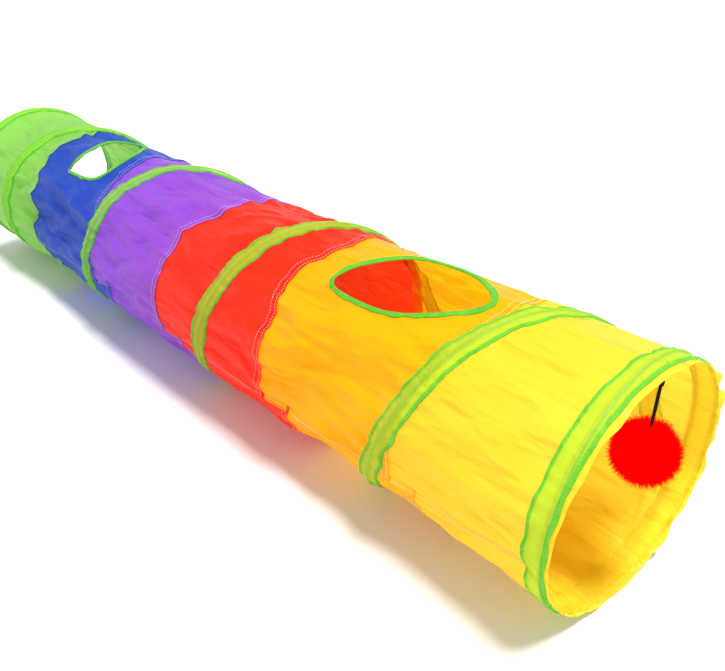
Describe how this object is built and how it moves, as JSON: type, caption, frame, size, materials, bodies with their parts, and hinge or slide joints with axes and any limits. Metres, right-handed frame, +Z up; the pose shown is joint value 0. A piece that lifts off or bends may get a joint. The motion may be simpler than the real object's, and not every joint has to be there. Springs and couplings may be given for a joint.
{
  "type": "pet agility tunnel",
  "caption": "Fabric pet tunnel of coloured panels on a coiled spring wire, with peepholes, taped rims and a hanging fluffy ball; collapses lengthways.",
  "frame": {"origin": "on the floor, under the middle of the tunnel's length", "axes": "+X along the tunnel to the entrance with the ball, +Z up, +Y to the left when looking out along +X"},
  "size_m": [1.2235, 0.25, 0.2475],
  "materials": {
    "green_taffeta": "thin woven polyester taffeta, soft sheen, dyed green",
    "blue_taffeta": "thin woven polyester taffeta, soft sheen, dyed blue",
    "purple_taffeta": "thin woven polyester taffeta, soft sheen, dyed purple",
    "red_taffeta": "thin woven polyester taffeta, soft sheen, dyed red",
    "orange_taffeta": "thin woven polyester taffeta, soft sheen, dyed orange",
    "yellow_taffeta": "thin woven polyester taffeta, soft sheen, dyed yellow",
    "channel_tape": "woven polyester binding tape, bright green, folded edges",
    "spring_wire": "hard drawn spring steel wire",
    "crimp_steel": "bright plated steel crimp",
    "black_elastic": "braided black elastic",
    "red_fluff": "soft cut acrylic pile"
  },
  "bodies": {
    "far_end": {"green_panel": "green_taffeta", "coil_wire_green": "spring_wire", "coil_tape_green": "channel_tape", "far_wire_ring": "spring_wire", "far_wire_crimp": "crimp_steel", "far_rim_tape": "channel_tape"},
    "blue_section": {"blue_panel": "blue_taffeta", "coil_wire_blue": "spring_wire", "coil_tape_blue": "channel_tape", "blue_peephole_binding": "channel_tape"},
    "purple_section": {"purple_panel": "purple_taffeta", "coil_wire_purple": "spring_wire", "coil_tape_purple": "channel_tape"},
    "red_section": {"red_panel": "red_taffeta", "coil_wire_red": "spring_wire", "coil_tape_red": "channel_tape"},
    "orange_section": {"orange_panel": "orange_taffeta", "coil_wire_orange": "spring_wire", "coil_tape_orange": "channel_tape", "orange_peephole_binding": "channel_tape"},
    "yellow_section": {"yellow_panel": "yellow_taffeta", "coil_wire_yellow": "spring_wire", "coil_tape_yellow": "channel_tape"},
    "entrance": {"near_wire_ring": "spring_wire", "near_wire_crimp": "crimp_steel", "near_rim_tape": "channel_tape"},
    "tab": {"elastic_tab": "black_elastic"},
    "loop": {"elastic_loop": "black_elastic", "loop_whipping": "black_elastic", "ball_elastic": "black_elastic"},
    "ball": {"pom_pom": "red_fluff", "ball_knot": "black_elastic"}
  },
  "joints": [
    {"name": "collapse", "type": "slide", "parent": "far_end", "child": "entrance", "axis": [-1, 0, 0], "range_m": [0, 1.14], "stiffness_N_per_m": 4, "springref_m": -0.3, "deforming": ["green_panel", "coil_wire_green", "coil_tape_green"]},
    {"name": "blue_section_slide", "type": "slide", "parent": "far_end", "child": "blue_section", "axis": [-1, 0, 0], "range_m": [0, 0.2182], "deforming": ["blue_panel", "coil_wire_blue", "coil_tape_blue", "blue_peephole_binding"]},
    {"name": "purple_section_slide", "type": "slide", "parent": "far_end", "child": "purple_section", "axis": [-1, 0, 0], "range_m": [0, 0.4121], "deforming": ["purple_panel", "coil_wire_purple", "coil_tape_purple"]},
    {"name": "red_section_slide", "type": "slide", "parent": "far_end", "child": "red_section", "axis": [-1, 0, 0], "range_m": [0, 0.6059], "deforming": ["red_panel", "coil_wire_red", "coil_tape_red"]},
    {"name": "orange_section_slide", "type": "slide", "parent": "far_end", "child": "orange_section", "axis": [-1, 0, 0], "range_m": [0, 0.7998], "deforming": ["orange_panel", "coil_wire_orange", "coil_tape_orange", "orange_peephole_binding"]},
    {"name": "yellow_section_slide", "type": "slide", "parent": "far_end", "child": "yellow_section", "axis": [-1, 0, 0], "range_m": [0, 0.9966], "deforming": ["yellow_panel", "coil_wire_yellow", "coil_tape_yellow"]},
    {"name": "sideways_swing", "type": "hinge", "parent": "entrance", "child": "tab", "pos_m": [0.594, 0.01, 0.2408], "axis": [1, 0, 0], "range_deg": [-35, 35]},
    {"name": "lengthways_swing", "type": "hinge", "parent": "tab", "child": "loop", "pos_m": [0.594, 0.01, 0.235], "axis": [0, 1, 0], "range_deg": [-60, 60]},
    {"name": "elastic_stretch", "type": "slide", "parent": "loop", "child": "ball", "axis": [0, 0, -1], "range_m": [0, 0.05], "stiffness_N_per_m": 25, "deforming": ["ball_elastic"]}
  ],
  "couplings": [
    {"joint": "blue_section_slide", "follows": "collapse", "ratio": 0.18963},
    {"joint": "purple_section_slide", "follows": "collapse", "ratio": 0.35969},
    {"joint": "red_section_slide", "follows": "collapse", "ratio": 0.52976},
    {"joint": "orange_section_slide", "follows": "collapse", "ratio": 0.69983},
    {"joint": "yellow_section_slide", "follows": "collapse", "ratio": 0.87245}
  ]
}
